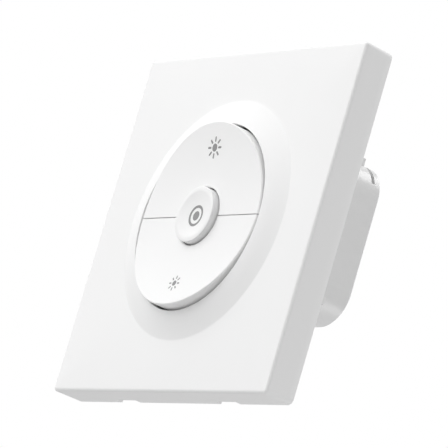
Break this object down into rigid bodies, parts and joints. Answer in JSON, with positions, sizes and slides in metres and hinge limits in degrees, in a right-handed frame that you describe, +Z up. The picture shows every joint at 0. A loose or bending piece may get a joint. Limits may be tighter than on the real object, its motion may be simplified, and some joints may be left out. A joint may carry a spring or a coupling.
{
  "type": "smart dimmer switch",
  "caption": "Square wall dimmer key with two half-round rocker keys round a dished power button, wireless module and rear housing with wire terminals.",
  "frame": {"origin": "centre of the plate on the wall plane, midway between the two box screws", "axes": "+X to the right seen from the front, +Y into the wall, +Z up; the front looks along -Y"},
  "size_m": [0.086, 0.0336, 0.086],
  "materials": {
    "plate_white": "satin",
    "key_white": "satin",
    "button_white": "satin",
    "housing_white": "fine texture",
    "frame_white": "fine texture",
    "carrier_grey": "fine texture",
    "board_green": "solder mask",
    "switch_black": "moulded",
    "plunger_cream": "moulded",
    "shield_tin": "tinned",
    "chip_black": "moulded",
    "lamp_lens": "clear",
    "header_black": "moulded",
    "pin_gold": "plated",
    "screw_zinc": "zinc plated",
    "block_grey": "moulded",
    "cage_brass": "turned",
    "fuse_ceramic": "ceramic",
    "fuse_metal": "plated",
    "film_yellow": "boxed",
    "can_aluminium": "drawn",
    "ferrite_grey": "sintered",
    "coil_copper": "enamelled",
    "tape_yellow": "tape",
    "varistor_blue": "dipped",
    "sink_aluminium": "rolled"
  },
  "bodies": {
    "base": {"cover_plate": "plate_white", "key_carrier": "carrier_grey", "key_board": "board_green", "upper_switch_body": "switch_black", "lower_switch_body": "switch_black", "power_switch_body": "switch_black", "radio_board": "board_green", "radio_shield": "shield_tin", "controller_chip": "chip_black", "status_lamp": "lamp_lens", "header_body": "header_black", "header_pins": "pin_gold", "header_socket": "header_black", "mounting_frame": "frame_white", "housing_screws": "screw_zinc", "rear_housing": "housing_white", "power_board": "board_green", "terminal_block": "block_grey", "terminal_cages": "cage_brass", "terminal_screws": "screw_zinc", "fuse_body": "fuse_ceramic", "fuse_caps": "fuse_metal", "film_capacitor": "film_yellow", "bulk_capacitor": "can_aluminium", "choke_core": "ferrite_grey", "choke_winding": "coil_copper", "transformer_core": "ferrite_grey", "transformer_winding": "tape_yellow", "varistor": "varistor_blue", "power_transistors": "chip_black", "heat_sink": "sink_aluminium", "bridge_rectifier": "chip_black"},
    "upper_key": {"upper_rocker": "key_white"},
    "lower_key": {"lower_rocker": "key_white"},
    "power_key": {"power_button": "button_white"},
    "upper_plunger": {"upper_switch_plunger": "plunger_cream"},
    "lower_plunger": {"lower_switch_plunger": "plunger_cream"},
    "power_plunger": {"power_switch_plunger": "plunger_cream"}
  },
  "joints": [
    {"name": "upper_rocker_tilt", "type": "hinge", "parent": "base", "child": "upper_key", "pos_m": [0, -0.0073, 0.0026], "axis": [-1, 0, 0], "range_deg": [0, 2.1], "stiffness_Nm_per_rad": 0.75, "springref_deg": -0.57},
    {"name": "lower_rocker_tilt", "type": "hinge", "parent": "base", "child": "lower_key", "pos_m": [0, -0.0073, -0.0026], "axis": [1, 0, 0], "range_deg": [0, 2.1], "stiffness_Nm_per_rad": 0.75, "springref_deg": -0.57},
    {"name": "power_button_press", "type": "slide", "parent": "base", "child": "power_key", "axis": [0, 1, 0], "range_m": [0, 0.0005], "stiffness_N_per_m": 4000, "springref_m": -0.0001},
    {"name": "upper_plunger_press", "type": "slide", "parent": "base", "child": "upper_plunger", "axis": [0, 1, 0], "range_m": [0, 0.0005]},
    {"name": "lower_plunger_press", "type": "slide", "parent": "base", "child": "lower_plunger", "axis": [0, 1, 0], "range_m": [0, 0.0005]},
    {"name": "power_plunger_press", "type": "slide", "parent": "base", "child": "power_plunger", "axis": [0, 1, 0], "range_m": [0, 0.0005]}
  ],
  "couplings": [
    {"joint": "upper_plunger_press", "follows": "upper_rocker_tilt", "m_per_rad": 0.0134},
    {"joint": "lower_plunger_press", "follows": "lower_rocker_tilt", "m_per_rad": 0.0134},
    {"joint": "power_plunger_press", "follows": "power_button_press", "ratio": 1}
  ]
}
